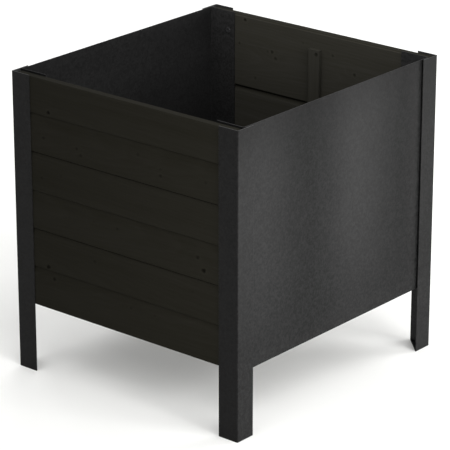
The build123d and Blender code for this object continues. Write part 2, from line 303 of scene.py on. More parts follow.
# Broad pale bands of painted reflection down the outer steel faces, as (share of the way from front to back,
# strength).
BAND_STOPS = [
    (0.0, 0.77), (0.0625, 0.86), (0.125, 0.81), (0.22, 0.41), (0.3125, 0.08), (0.375, 0.09), (0.47, 0.46),
    (0.5625, 0.99), (0.625, 0.97), (0.72, 0.62), (0.8125, 0.12), (0.875, 0.0), (0.9375, 0.30), (1.0, 0.24),
]
# Strength of those bands, then tone of the coat between them, from the walls' bottom to the rim; that tone
# is painted shade, darker towards the rim.
WALL_LEVELS = (0.115, 0.52)
FADE_STOPS = [
    (0.0, 0.2), (0.11, 0.36), (0.21, 0.58), (0.35, 0.78), (0.6, 0.97), (0.75, 1.0), (0.88, 0.87), (1.0, 0.6),
]
WALL_SHADE_STOPS = [
    (0.0, 1.15), (0.11, 0.92), (0.5, 0.9), (0.7, 0.82), (0.8, 0.76), (0.9, 0.66), (1.0, 0.53),
]
# Levels above the ground, and the tone there of the legs' other outer faces.
LOW_DARKENING = {"From Min": 0.05, "From Max": 0.45, "To Min": 0.87, "To Max": 0.99}
# What is added to the tone of faces that look into the box, as painted light and shade: on the flanges and
# on the wide walls by level above the ground, and everywhere inside the legs.
FLANGE_INSIDE = {"From Min": 0.33, "From Max": 0.5, "To Min": 0.68, "To Max": 1.95}
WALL_INSIDE = {"From Min": 0.44, "From Max": 0.5, "To Min": 0.42, "To Max": -0.02}
LEG_INSIDE_LIFT = 2.6
# What is added on top edges: the legs' get a painted highlight, the walls' are coloured darker.
LEG_EDGE_HIGHLIGHT = 3.6
WALL_EDGE_LIFT = -0.45
PLAIN_EDGE_LIFT = 0.0
# Dark and pale colours of the screws' steel, where it was oiled and where it was stained over.
OILED_COLOURS = ("262627", "3a3a3b")
STAINED_COLOURS = ("23221d", "302f2a")


def add_node(tree, kind, inputs=None, stops=None, **settings):
    """Add a node: settings set its properties, inputs set or link its sockets, stops fill a colour ramp."""
    node = tree.nodes.new(kind)
    for key, value in settings.items():
        setattr(node, key, value)
    if stops:
        ramp = node.color_ramp
        while len(ramp.elements) < len(stops):
            ramp.elements.new(0.5)
        for element, (position, level) in zip(ramp.elements, stops):
            element.position = position
            element.color = (level, level, level, 1)
    for key, value in (inputs or {}).items():
        if isinstance(value, bpy.types.NodeSocket):
            tree.links.new(value, node.inputs[key])
        else:
            node.inputs[key].default_value = value
    return node


def new_material(name):
    """Empty node material with its output node."""
    material = bpy.data.materials.new(name)
    material.use_nodes = True
    material.node_tree.nodes.clear()
    output = material.node_tree.nodes.new("ShaderNodeOutputMaterial")
    return material, material.node_tree, output


def stained_softwood(name, settings, carved):
    """Planed softwood under an opaque black stain.

    The eye gets a matt, slightly brown black, grain lines a shade paler than the wood between them, long
    fine fibres, and knots as dark spots with a paler collar. Carved pieces carry their rings and knots in
    the mesh; the others get rings about an upright pith.
    """
    material, tree, output = new_material(name)
    place = add_node(tree, "ShaderNodeTexCoord").outputs["Object"]
    if carved:
        rings = add_node(tree, "ShaderNodeAttribute", attribute_name="rings").outputs["Fac"]
        heart = add_node(tree, "ShaderNodeAttribute", attribute_name="knot_heart").outputs["Fac"]
        collar = add_node(tree, "ShaderNodeAttribute", attribute_name="knot_collar").outputs["Fac"]
        sawn = add_node(tree, "ShaderNodeAttribute", attribute_name="sawn_side").outputs["Fac"]
        fibre_scale = (1 / (90 * MM), 1 / (2.6 * MM), 1 / (2.6 * MM))
    else:
        # The pith is far off, so the rings are almost flat, and wander by up to a ring over 150 mm.
        wander = add_node(tree, "ShaderNodeTexNoise", {
            "Vector": place, "Scale": 1 / (150 * MM), "Detail": 1.0})
        offset = add_node(tree, "ShaderNodeMapping", {
            "Vector": place, "Location": (-BATTEN_PITH[0], -BATTEN_PITH[1], 0), "Scale": (1, 1, 0.03)})
        radius = add_node(tree, "ShaderNodeVectorMath", {0: offset.outputs["Vector"]}, operation="LENGTH")
        count = add_node(tree, "ShaderNodeMath", {
            0: radius.outputs["Value"], 1: 1 / settings.ring_spacing,
            2: wander.outputs["Fac"]}, operation="MULTIPLY_ADD")
        rings = count.outputs["Value"]
        sawn = 1.0
        fibre_scale = (1 / (2.2 * MM), 1 / (2.2 * MM), 1 / (90 * MM))

    year = add_node(tree, "ShaderNodeMath", {0: rings}, operation="FRACT")
    late = add_node(tree, "ShaderNodeValToRGB", {"Fac": year.outputs["Value"]}, stops=[
        (0.0, 0.25), (0.12, 0.0), (0.55, 0.2), (0.86, 1.0), (1.0, 0.25)])
    # Fibres 90 mm long and over 2 mm wide: real ones are finer, these as coarse as they need to show.
    stretch = add_node(tree, "ShaderNodeMapping", {"Vector": place, "Scale": fibre_scale})
    fibres = add_node(tree, "ShaderNodeTexNoise", {
        "Vector": stretch.outputs["Vector"], "Scale": 1.0, "Detail": 4.0, "Roughness": 0.62})
    # The stain soaks in unevenly, in streaks some 560 mm long and 15 mm wide.
    soak_scale = tuple(side * 0.16 for side in fibre_scale)
    soak_map = add_node(tree, "ShaderNodeMapping", {"Vector": place, "Scale": soak_scale})
    soak = add_node(tree, "ShaderNodeTexNoise", {
        "Vector": soak_map.outputs["Vector"], "Scale": 1.0, "Detail": 2.0, "Roughness": 0.5})

    grain = add_node(tree, "ShaderNodeMath", {
        0: late.outputs["Color"], 1: LATE_WOOD_SHARE, 2: fibres.outputs["Fac"]}, operation="MULTIPLY_ADD")
    tone = add_node(tree, "ShaderNodeMath", {
        0: soak.outputs["Fac"], 1: SOAK_SHARE, 2: grain.outputs["Value"]}, operation="MULTIPLY_ADD")
    share = add_node(tree, "ShaderNodeMapRange", {
        "Value": tone.outputs["Value"], "From Min": 0.55, "From Max": 1.55})
    colour = add_node(tree, "ShaderNodeMix", {
        "Factor": share.outputs["Result"],
        "A": (*settings.stain_colour, 1), "B": (*settings.late_wood_colour, 1)},
        data_type="RGBA").outputs[COLOUR_RESULT]
    axes = add_node(tree, "ShaderNodeSeparateXYZ", {"Vector": place})
    sawn_lift = settings.sawn_lift * (1.0 if carved else BATTEN_SHARE)
    # Painted shade: lower down, the sawn faces are coloured darker.
    shaded_lift = add_node(tree, "ShaderNodeMapRange", {
        "Value": axes.outputs["Z"], "From Min": SHADE_LEVELS[0], "From Max": SHADE_LEVELS[1],
        "To Min": SHADE_SHARES[0] * sawn_lift, "To Max": SHADE_SHARES[1] * sawn_lift})
    if carved:
        colour = add_node(tree, "ShaderNodeMix", {
            "Factor": collar, "A": colour, "B": (*[2.1 * c for c in settings.stain_colour], 1)},
            data_type="RGBA").outputs[COLOUR_RESULT]
        colour = add_node(tree, "ShaderNodeMix", {
            "Factor": heart, "A": colour, "B": (*settings.knot_colour, 1)},
            data_type="RGBA").outputs[COLOUR_RESULT]
        # The stain was brushed on from one end, and lies thinner on the planed faces towards the other.
        brushed = add_node(tree, "ShaderNodeMapRange", {"Value": axes.outputs["X"], **BRUSHED})
        lift = add_node(tree, "ShaderNodeMapRange", {
            "Value": sawn, "To Min": brushed.outputs["Result"], "To Max": shaded_lift.outputs["Result"]})
        colour = add_node(tree, "ShaderNodeVectorMath", {
            0: colour, 1: lift.outputs["Result"]}, operation="MULTIPLY").outputs["Vector"]
    else:
        normal = add_node(tree, "ShaderNodeNewGeometry").outputs["Normal"]
        facing = add_node(tree, "ShaderNodeSeparateXYZ", {"Vector": normal})
        sideways = add_node(tree, "ShaderNodeMath", {0: facing.outputs["X"]}, operation="ABSOLUTE")
        # Painted shade on the battens' sides: they are coloured darker than their faces.
        lift = add_node(tree, "ShaderNodeMix", {
            "Factor": sideways.outputs["Value"], "A": shaded_lift.outputs["Result"], "B": BATTEN_SHADED_SIDE_LIFT},
            data_type="FLOAT")
        colour = add_node(tree, "ShaderNodeVectorMath", {
            0: colour, 1: lift.outputs["Result"]}, operation="MULTIPLY").outputs["Vector"]
    # Where the stain is pale, the grey dust of the saw shows through it.
    dusty = add_node(tree, "ShaderNodeVectorMath", {0: colour, 1: SAW_DUST_TINT}, operation="MULTIPLY")
    colour = add_node(tree, "ShaderNodeMix", {
        "Factor": sawn, "A": colour, "B": dusty.outputs["Vector"]}, data_type="RGBA").outputs[COLOUR_RESULT]

    rough = add_node(tree, "ShaderNodeMapRange", {
        "Value": tone.outputs["Value"], "From Min": 0.5, "From Max": 1.8, "To Min": 0.9, "To Max": 0.78})
    # Open grain: the fibres stand 0.12 mm over the pores.
    bump = add_node(tree, "ShaderNodeBump", {
        "Height": grain.outputs["Value"], "Distance": 0.12 * MM, "Strength": 0.6})
    surface = add_node(tree, "ShaderNodeBsdfPrincipled", {
        "Base Color": colour, "Roughness": rough.outputs["Result"], "Normal": bump.outputs["Normal"],
        "IOR": 1.5, "Specular IOR Level": 0.03})
    tree.links.new(surface.outputs["BSDF"], output.inputs["Surface"])
    return material


def coated_steel(name, settings, edge_lift):
    """Sheet steel, zinc dipped and powder coated black.

    The eye gets a satin black with a faint mottle of zinc crystals under the coat and the very fine
    pitting of the powder. The outer faces at the sides also have broad, soft, upright bands of painted
    reflection, and faces inside the box have painted light and shade. The edge lift is added to the tone of
    top edges: a painted highlight on the legs, a darker tone on the walls.
    """
    material, tree, output = new_material(name)
    place = add_node(tree, "ShaderNodeTexCoord").outputs["Object"]
    spangle = add_node(tree, "ShaderNodeTexNoise", {
        "Vector": place, "Scale": 1 / settings.spangle_width, "Detail": 3.0, "Roughness": 0.6})
    crystals = add_node(tree, "ShaderNodeTexVoronoi", {
        "Vector": place, "Scale": 1 / (1.4 * settings.spangle_width), "Randomness": 1.0}, feature="F1")
    crystal_tone = add_node(tree, "ShaderNodeSeparateColor", {"Color": crystals.outputs["Color"]})
    mottle = add_node(tree, "ShaderNodeMath", {
        0: crystal_tone.outputs["Red"], 1: 0.22, 2: spangle.outputs["Fac"]}, operation="MULTIPLY_ADD")
    share = add_node(tree, "ShaderNodeMapRange", {
        "Value": mottle.outputs["Value"], "From Min": 0.42, "From Max": 0.80})
    colour = add_node(tree, "ShaderNodeMix", {
        "Factor": share.outputs["Result"],
        "A": (*settings.coat_colour, 1), "B": (*settings.coat_pale_colour, 1)},
        data_type="RGBA").outputs[COLOUR_RESULT]
    wave = add_node(tree, "ShaderNodeTexNoise", {
        "Vector": place, "Scale": 1 / (110 * MM), "Detail": 1.0})
    axes = add_node(tree, "ShaderNodeSeparateXYZ", {"Vector": place})
    # Across the wall, from its front end at 0 to its back end at 1, wandering by some 8 mm either way.
    sway = add_node(tree, "ShaderNodeMath", {
        0: wave.outputs["Fac"], 1: BAND_WANDER, 2: axes.outputs["Y"]}, operation="MULTIPLY_ADD")
    across = add_node(tree, "ShaderNodeMapRange", {
        "Value": sway.outputs["Value"],
        "From Min": BAND_WANDER / 2 - BAND_HALF_WIDTH, "From Max": BAND_WANDER / 2 + BAND_HALF_WIDTH})
    bands = add_node(tree, "ShaderNodeValToRGB", {"Fac": across.outputs["Result"]}, stops=BAND_STOPS)
    bands.color_ramp.interpolation = "CARDINAL"
    rise = add_node(tree, "ShaderNodeMapRange", {
        "Value": axes.outputs["Z"], "From Min": WALL_LEVELS[0], "From Max": WALL_LEVELS[1]})
    fade = add_node(tree, "ShaderNodeValToRGB", {"Fac": rise.outputs["Result"]}, stops=FADE_STOPS)
    fade.color_ramp.interpolation = "CARDINAL"
    # Painted shade: the coat between the bands is coloured darker towards the rim.
    between_bands = add_node(tree, "ShaderNodeValToRGB", {"Fac": rise.outputs["Result"]}, stops=WALL_SHADE_STOPS)
    sheen = add_node(tree, "ShaderNodeMath", {
        0: bands.outputs["Color"], 1: fade.outputs["Color"]}, operation="MULTIPLY")
    # The painted reflection bands are on the outer faces of the steel walls and legs only.
    off_middle = add_node(tree, "ShaderNodeMath", {0: axes.outputs["X"]}, operation="ABSOLUTE")
    outside = add_node(tree, "ShaderNodeMath", {
        0: off_middle.outputs["Value"], 1: WALL_MIDDLE_X}, operation="GREATER_THAN")
    normal = add_node(tree, "ShaderNodeNewGeometry").outputs["Normal"]
    facing = add_node(tree, "ShaderNodeSeparateXYZ", {"Vector": normal})
    sideways = add_node(tree, "ShaderNodeMath", {0: facing.outputs["X"]}, operation="ABSOLUTE")
    aside = add_node(tree, "ShaderNodeMath", {
        0: sideways.outputs["Value"], 1: outside.outputs["Value"]}, operation="MULTIPLY")
    # The crystals show most on those faces, between the bands.
    speckle = add_node(tree, "ShaderNodeMapRange", {
        "Value": share.outputs["Result"], "To Min": 0.76, "To Max": 1.24})
    outer_tone = add_node(tree, "ShaderNodeMath", {
        0: between_bands.outputs["Color"], 1: speckle.outputs["Result"]}, operation="MULTIPLY")
    # The other outer faces of the legs are coloured darker, more so lower down.
    darker_low = add_node(tree, "ShaderNodeMapRange", {"Value": axes.outputs["Z"], **LOW_DARKENING})
    lifted = add_node(tree, "ShaderNodeMix", {
        "Factor": aside.outputs["Value"], "A": darker_low.outputs["Result"],
        "B": outer_tone.outputs["Value"]}, data_type="FLOAT")
    # Painted light and shade on faces that look into the box: they are coloured paler, the legs' insides
    # most.
    turned = add_node(tree, "ShaderNodeVectorMath", {0: normal, 1: place}, operation="DOT_PRODUCT")
    inward = add_node(tree, "ShaderNodeMath", {
        0: turned.outputs["Value"], 1: -0.05}, operation="LESS_THAN")
    endways = add_node(tree, "ShaderNodeMath", {0: facing.outputs["Y"]}, operation="ABSOLUTE")
    off_boards = add_node(tree, "ShaderNodeMath", {0: axes.outputs["Y"]}, operation="ABSOLUTE")
    on_leg = add_node(tree, "ShaderNodeMath", {
        0: off_boards.outputs["Value"], 1: FLANGE_MIDDLE_Y}, operation="GREATER_THAN")
    on_leg = add_node(tree, "ShaderNodeMath", {
        0: on_leg.outputs["Value"], 1: endways.outputs["Value"]}, operation="MULTIPLY")
    on_leg = add_node(tree, "ShaderNodeMath", {
        0: on_leg.outputs["Value"], 1: aside.outputs["Value"]}, operation="MAXIMUM")
    on_flange = add_node(tree, "ShaderNodeMapRange", {"Value": axes.outputs["Z"], **FLANGE_INSIDE})
    on_wall = add_node(tree, "ShaderNodeMapRange", {"Value": axes.outputs["Z"], **WALL_INSIDE})
    inside_light = add_node(tree, "ShaderNodeMix", {
        "Factor": endways.outputs["Value"], "A": on_wall.outputs["Result"],
        "B": on_flange.outputs["Result"]}, data_type="FLOAT")
    inside_light = add_node(tree, "ShaderNodeMix", {
        "Factor": on_leg.outputs["Value"], "A": inside_light.outputs["Result"], "B": LEG_INSIDE_LIFT},
        data_type="FLOAT")
    lifted = add_node(tree, "ShaderNodeMath", {
        0: inside_light.outputs["Result"], 1: inward.outputs["Value"], 2: lifted.outputs["Result"]},
        operation="MULTIPLY_ADD")
    # Painted highlight on the legs' top edges; on the walls' top edges a darker tone.
    upward = add_node(tree, "ShaderNodeMath", {
        0: facing.outputs["Z"], 1: 0.5}, operation="GREATER_THAN")
    lifted = add_node(tree, "ShaderNodeMath", {
        0: upward.outputs["Value"], 1: edge_lift, 2: lifted.outputs["Value"]}, operation="MULTIPLY_ADD")
    colour = add_node(tree, "ShaderNodeVectorMath", {
        0: colour, 1: lifted.outputs["Value"]}, operation="MULTIPLY").outputs["Vector"]
    # In the bands the painted sheen lies over the crystals and veils them.
    veil = add_node(tree, "ShaderNodeMath", {
        0: sheen.outputs["Value"], 1: aside.outputs["Value"]}, operation="MULTIPLY")
    veil_colour = [
        settings.painted_sheen_strength * (a + b) / 2
        for a, b in zip(settings.coat_colour, settings.coat_pale_colour)]
    colour = add_node(tree, "ShaderNodeVectorMath", {
        0: veil.outputs["Value"], 1: veil_colour, 2: colour}, operation="MULTIPLY_ADD").outputs["Vector"]
    rough = add_node(tree, "ShaderNodeMapRange", {
        "Value": mottle.outputs["Value"], "From Min": 0.3, "From Max": 0.9, "To Min": 0.40, "To Max": 0.52})
    # Powder pits are under 1 mm wide; they are drawn 2 mm wide so that they show.
    pits = add_node(tree, "ShaderNodeTexNoise", {
        "Vector": place, "Scale": 1 / (2 * MM), "Detail": 2.0, "Roughness": 0.5})
    bump = add_node(tree, "ShaderNodeBump", {
        "Height": pits.outputs["Fac"], "Distance": 0.03 * MM, "Strength": 0.5})
    surface = add_node(tree, "ShaderNodeBsdfPrincipled", {
        "Base Color": colour, "Roughness": rough.outputs["Result"], "Normal": bump.outputs["Normal"],
        "IOR": 1.5, "Specular IOR Level": 0.06})
    tree.links.new(surface.outputs["BSDF"], output.inputs["Surface"])
    return material


def screw_steel(name, gloss, dark, pale):
    """Hardened steel screws, blackened.

    The eye gets a smooth, dark grey, with a soft bright glint where the gloss is high.
    """
    material, tree, output = new_material(name)
    place = add_node(tree, "ShaderNodeTexCoord").outputs["Object"]
    # Turning marks and rubbed spots, about 1.5 mm across.
    rubbed = add_node(tree, "ShaderNodeTexNoise", {
        "Vector": place, "Scale": 1 / (1.5 * MM), "Detail": 2.0})
    colour = add_node(tree, "ShaderNodeMix", {
        "Factor": rubbed.outputs["Fac"], "A": (*linear_colour(dark), 1),
        "B": (*linear_colour(pale), 1)}, data_type="RGBA").outputs[COLOUR_RESULT]
    rough = add_node(tree, "ShaderNodeMapRange", {
        "Value": rubbed.outputs["Fac"], "To Min": 0.24, "To Max": 0.4})
    surface = add_node(tree, "ShaderNodeBsdfPrincipled", {
        "Base Color": colour, "Roughness": rough.outputs["Result"], "IOR": 1.5,
        "Specular IOR Level": gloss})
    tree.links.new(surface.outputs["BSDF"], output.inputs["Surface"])
    return material


def painted_floor(name, colour):
    """Smooth board painted a matt off-white: an even tone with the faintest roller texture."""
    material, tree, output = new_material(name)
    place = add_node(tree, "ShaderNodeTexCoord").outputs["Object"]
    # Roller marks about 40 mm across.
    marks = add_node(tree, "ShaderNodeTexNoise", {
        "Vector": place, "Scale": 1 / (40 * MM), "Detail": 2.0})
    tone = add_node(tree, "ShaderNodeMix", {
        "Factor": marks.outputs["Fac"],
        "A": (*colour, 1), "B": (*[0.99 * c for c in colour], 1)}, data_type="RGBA").outputs[COLOUR_RESULT]
    surface = add_node(tree, "ShaderNodeBsdfPrincipled", {
        "Base Color": tone, "Roughness": 0.9, "IOR": 1.5, "Specular IOR Level": 0.2})
    tree.links.new(surface.outputs["BSDF"], output.inputs["Surface"])
    return material


def shared_material(name, maker, *arguments):
    """The material of that name, made the first time that it is asked for."""
    return bpy.data.materials.get(name) or maker(name, *arguments)


# ---- Mesh helpers ----

def add_piece(name, mesh, material, nodes):
    """Put a finished mesh in the scene as a piece that stands for CAD nodes and rides on the box."""
    mesh.materials.clear()
    mesh.materials.append(material)
    piece = bpy.data.objects.new(name, mesh)
    bpy.context.scene.collection.objects.link(piece)
    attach(piece, "root")
    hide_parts(*nodes)
    return piece


def eased_copy(node, name, rounding, segments, material):
    """A piece with a CAD node's faces, its sharp edges rounded over."""
    mesh = bpy.data.meshes.new(name)
    shape = bmesh.new()
    shape.from_mesh(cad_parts[node].data)
    bmesh.ops.remove_doubles(shape, verts=shape.verts, dist=1e-6)
    bmesh.ops.dissolve_limit(
        shape, angle_limit=FLAT_ANGLE, verts=list(shape.verts), edges=list(shape.edges))
    sharp = [edge for edge in shape.edges if edge.is_manifold and edge.calc_face_angle() > SHARP_ANGLE]
    bmesh.ops.bevel(
        shape, geom=sharp, offset=rounding, offset_type="OFFSET", segments=segments, profile=0.5,
        affect="EDGES", clamp_overlap=True)
    for face in shape.faces:
        face.smooth = True
    shape.to_mesh(mesh)
    shape.free()
    piece = add_piece(name, mesh, material, [node])
    weighted = piece.modifiers.new("flat faces stay flat", "WEIGHTED_NORMAL")
    weighted.weight = 100
    weighted.keep_sharp = True
    return piece


def eased_at_corners(kind, rounding, segments, material):
    """A coated piece for the CAD node of that kind at each corner of the box."""
    for y_side, x_side in CORNERS:
        node = f"{kind}_{Y_NAMES[y_side]}_{X_NAMES[x_side]}"
        eased_copy(node, f"{node}_coated", rounding, segments, material)


def divided(corners, steps):
    """Points along a closed outline; steps gives the spacing for the run after each corner, or None."""
    points = []
    for index, (start, step) in enumerate(zip(corners, steps)):
        end = corners[(index + 1) % len(corners)]
        length = math.dist(start, end)
        count = max(1, round(length / step)) if step else 1
        points += [
            tuple(a + (b - a) * part / count for a, b in zip(start, end)) for part in range(count)]
    return np.array(points)


def growth(along, depth, level, timber, ring_spacing):
    """Ring count, knot heart and knot collar at points of a board; lengths in metres, timber in mm."""
    pith_depth, pith_level, lean = timber["pith"]
    wander = (
        1.1 * np.sin(along / 0.083 + pith_level) * np.cos(level / 0.043 + pith_depth)
        + 0.5 * np.sin(along / 0.037 + level / 0.017 + pith_depth)
        + 0.2 * np.sin(along / 0.0157 - level / 0.0093 + pith_level)
    ) * MM
    off_level = level - pith_level * MM - lean * along
    radius = np.hypot(pith_depth * MM - depth, off_level) + 0.05 * along + wander
    heart = np.zeros_like(radius)
    collar = np.zeros_like(radius)
    for knot_along, knot_level, knot_radius, darkness in timber["knots"]:
        size = knot_radius * MM
        # A branch leans a little towards the tip of the tree, so the knot's other face is offset.
        run = along - knot_along * MM - KNOT_LEAN * depth
        rise = level - knot_level * MM
        distance = np.hypot(run * ALONG_SHARE, rise) / size
        ragged = 1 + 0.12 * np.sin(3 * np.arctan2(rise, run) + knot_along)
        heart = np.maximum(heart, darkness / (1 + np.exp((distance / ragged - 0.85) * 9)))
        ring = np.exp(-(((distance - COLLAR_PLACE) / COLLAR_WIDTH) ** 2))
        collar = np.maximum(collar, COLLAR_STRENGTH * min(darkness, 1) * ring)
        # The rings part round the knot and close again beyond it.
        reach = (run / (BULGE_LENGTH * size)) ** 2 + (rise / (BULGE_HEIGHT * size)) ** 2
        radius = radius + RING_BULGE * size * np.exp(-reach)
    return radius / ring_spacing, heart, collar


def carve_timber(name, corners, steps, ends, place, timber, settings, material, nodes):
    """A board or slat as one closed mesh, its grain and knots carved and also kept as attributes.

    Corners are (depth from the best face, level) round the section, and place turns along, depth and
    level into a point of the box.
    """
    section = divided(corners, steps)
    depths, levels = section.T
    start, end = ends
    stations = np.linspace(start, end, round((end - start) / ALONG_SPACING) + 1)
    along, depth = np.meshgrid(stations, depths, indexing="ij")
    level = np.broadcast_to(levels, along.shape).copy()
    rings, heart, collar = growth(along, depth, level, timber, settings.ring_spacing)

    deepest = depths.max()
    on_face = depths < settings.groove_depth + 0.2 * MM
    on_inside = depths > deepest - 0.05 * MM
    # Painted reflection on the top face of a highest board: it takes part of the sawn faces' paler tone.
    on_rim = (levels > levels.max() - 0.05 * MM) & (timber.get("rim_sheen", 0) > 0)
    sawn = np.where(on_inside, 1.0, np.where(on_rim, timber.get("rim_sheen", 0), 0.0))
    year = rings % 1.0
    late = np.clip(year * 1.3 - 0.2, 0, 1) * (1 - np.clip((year - 0.9) * 10, 0, 1))
    high = np.clip(0.45 * late + 0.9 * np.maximum(heart, collar), 0, 1)
    # The saw left the inner faces flatter than the planed and weathered outer ones.
    sunk = settings.relief * (1 - high) * np.where(on_inside, 0.35, 1.0)
    crack = 1.6 * settings.relief * np.clip(heart - 0.72, 0, 1) * 3
    inward = np.where(on_face, 1.0, np.where(on_inside, -1.0, 0.0)) * (sunk + crack)
    points = place(along, depth + inward, level).reshape(-1, 3)

    around = len(section)
    grid = np.arange(len(stations) * around).reshape(len(stations), around)
    following = np.roll(grid, -1, axis=1)
    quads = np.stack([grid[:-1], following[:-1], following[1:], grid[1:]], axis=-1).reshape(-1, 4)
    faces = quads.tolist() + [grid[0][::-1].tolist(), grid[-1].tolist()]
    mesh = bpy.data.meshes.new(name)
    mesh.from_pydata(points.tolist(), [], faces)
    for attribute_name, values in (
        ("rings", rings), ("knot_heart", heart), ("knot_collar", collar),
        ("sawn_side", np.broadcast_to(sawn, along.shape)),
    ):
        attribute = mesh.attributes.new(attribute_name, "FLOAT", "POINT")
        attribute.data.foreach_set("value", np.ascontiguousarray(values, np.float32).ravel())
    shape = bmesh.new()
    shape.from_mesh(mesh)
    bmesh.ops.recalc_face_normals(shape, faces=shape.faces)
    shape.to_mesh(mesh)
    shape.free()
    mesh.shade_smooth()
    mesh.set_sharp_from_angle(angle=math.radians(30))
    return add_piece(name, mesh, material, nodes)


# ---- Studio ----

# Name, power in watts, and direction round the box and above the floor in degrees. Each softbox is square,
# and faces the middle of the box.
SOFTBOXES = [
    ("front_softbox", 28, 0, 45),
    ("camera_softbox", 46, 60, 45),
    ("right_softbox", 131, 90, 12),
    ("back_right_softbox", 84, 150, 12),
    ("back_left_softbox", 34, 210, 45),
    ("left_softbox", 3, 300, 45),
    ("left_wall_softbox", 32, 262, 15),
]
SOFTBOX_SIDE = 2.0
SOFTBOX_DISTANCE = 3.5
LOWEST_SOFTBOX = 1.05
BOX_MIDDLE = Vector((0, 0, 0.25))
SENSOR_WIDTH = 36


def direction(azimuth, elevation):
    """Unit vector from the box towards an angle round it, 0 at the front, and an angle above the floor."""
    return Vector((
        math.sin(azimuth) * math.cos(elevation), -math.cos(azimuth) * math.cos(elevation),
        math.sin(elevation)))


# ---- Operators, one for each group of pieces ----

class PLANTER_OT_boards(bpy.types.Operator):
    """Build the tongue and groove boards of the two board walls"""

    bl_idname = "planter.boards"
    bl_label = "Boards"

    def execute(self, context):
        wood = context.scene.planter_wood
        material = shared_material("black_stained_planed_pine", stained_softwood, wood, True)
        joint_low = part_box("front_board_middle")[0].z
        joint_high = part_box("front_board_top")[0].z
        strip = (joint_high - joint_low) / 2
        tongue_front = (BOARD_THICKNESS - wood.tongue_thickness) / 2
        tongue_back = tongue_front + wood.tongue_thickness
        for y_side in SIDES:
            for row in BOARD_ROWS:
                node = f"{Y_NAMES[y_side]}_board_{row}"
                low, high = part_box(node)
                lower = low.z
                upper = high.z if row == "top" else high.z - wood.tongue_length
                lip = {"bottom": joint_low - strip, "middle": joint_low + strip,
                       "top": joint_high + strip}[row]
                chamfer, groove = wood.lip_chamfer, wood.groove_depth
                # (depth from the outer face, level, spacing of the points on the run that follows)
                runs = [
                    (chamfer, lower, None), (0, lower + chamfer, PLANED_SPACING),
                    (0, lip - wood.groove_height, PLANED_SPACING), (groove, lip - wood.slot_height, None),
                    (groove, lip, None), (chamfer, lip, None), (0, lip + chamfer, PLANED_SPACING),
                ]
                if row == "top":
                    runs += [
                        (0, upper - wood.rim_chamfer, None), (wood.rim_chamfer, upper, EDGE_SPACING),
                        (BOARD_THICKNESS - wood.rim_chamfer, upper, None),
                        (BOARD_THICKNESS, upper - wood.rim_chamfer, SAWN_SPACING),
                    ]
                else:
                    runs += [
                        (0, upper - wood.groove_height, PLANED_SPACING),
                        (groove, upper - wood.slot_height, None),
                        (tongue_front, upper - wood.slot_height, None), (tongue_front, high.z, None),
                        (tongue_back, high.z, None), (tongue_back, upper - wood.back_gap, None),
                        (BOARD_THICKNESS - wood.back_bevel, upper - wood.back_gap, None),
                        (BOARD_THICKNESS, upper - wood.back_gap - wood.back_bevel_height, SAWN_SPACING),
                    ]
                runs.append((BOARD_THICKNESS, lower, None))
                if row != "bottom":
                    groove_top = lower + wood.tongue_length + TONGUE_TIP_GAP
                    groove_back = tongue_back + TONGUE_SIDE_GAP
                    groove_front = tongue_front - TONGUE_SIDE_GAP
                    runs += [
                        (groove_back, lower, None), (groove_back, groove_top, None),
                        (groove_front, groove_top, None), (groove_front, lower, None),
                    ]
                outer_y = y_side * max(abs(low.y), abs(high.y))

                def place(along, depth, level):
                    return np.stack([along, outer_y - y_side * depth, level], axis=-1)

                carve_timber(
                    f"{node}_stained", [run[:2] for run in runs], [run[2] for run in runs],
                    (low.x, high.x), place, BOARD_TIMBER[f"{Y_NAMES[y_side]}_{row}"], wood, material,
                    [node])
        return {"FINISHED"}


class PLANTER_OT_battens(bpy.types.Operator):
    """Build the upright battens behind the boards"""

    bl_idname = "planter.battens"
    bl_label = "Battens"

    def execute(self, context):
        wood = context.scene.planter_wood
        material = shared_material("black_stained_sawn_batten", stained_softwood, wood, False)
        for y_side in SIDES:
            node = f"{Y_NAMES[y_side]}_batten"
            eased_copy(node, f"{node}_stained", BATTEN_ROUNDING, 2, material)
        return {"FINISHED"}


class PLANTER_OT_slats(bpy.types.Operator):
    """Build the floor slats"""

    bl_idname = "planter.slats"
    bl_label = "Floor slats"

    def execute(self, context):
        wood = context.scene.planter_wood
        material = shared_material("black_stained_planed_pine", stained_softwood, wood, True)
        for index, timber in enumerate(SLAT_TIMBER):
            node = f"floor_slat_{index + 1}"
            low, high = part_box(node)
            centre, half = (low.y + high.y) / 2, (high.y - low.y) / 2
            thick, chamfer = high.z - low.z, wood.slat_chamfer
            runs = [
                (chamfer, -half, None), (0, chamfer - half, SLAT_SPACING), (0, half - chamfer, None),
                (chamfer, half, EDGE_SPACING), (thick, half, EDGE_SPACING), (thick, -half, EDGE_SPACING),
            ]

            def place(along, depth, level):
                return np.stack([along, centre + level, high.z - depth], axis=-1)

            carve_timber(
                f"{node}_stained", [run[:2] for run in runs], [run[2] for run in runs],
                (low.x, high.x), place, timber, wood, material, [node])
        return {"FINISHED"}


class PLANTER_OT_legs(bpy.types.Operator):
    """Build the four angle legs"""

    bl_idname = "planter.legs"
    bl_label = "Legs"

    def execute(self, context):
        steel = context.scene.planter_steel
        material = shared_material("black_powder_coated_leg_steel", coated_steel, steel, LEG_EDGE_HIGHLIGHT)
        eased_at_corners("leg", steel.edge_rounding, 3, material)
        return {"FINISHED"}


class PLANTER_OT_foot_plates(bpy.types.Operator):
    """Build the triangular foot plates"""

    bl_idname = "planter.foot_plates"
    bl_label = "Foot plates"

    def execute(self, context):
        steel = context.scene.planter_steel
        material = shared_material("black_powder_coated_steel", coated_steel, steel, PLAIN_EDGE_LIFT)
        eased_at_corners("foot_plate", steel.edge_rounding, 3, material)
        return {"FINISHED"}


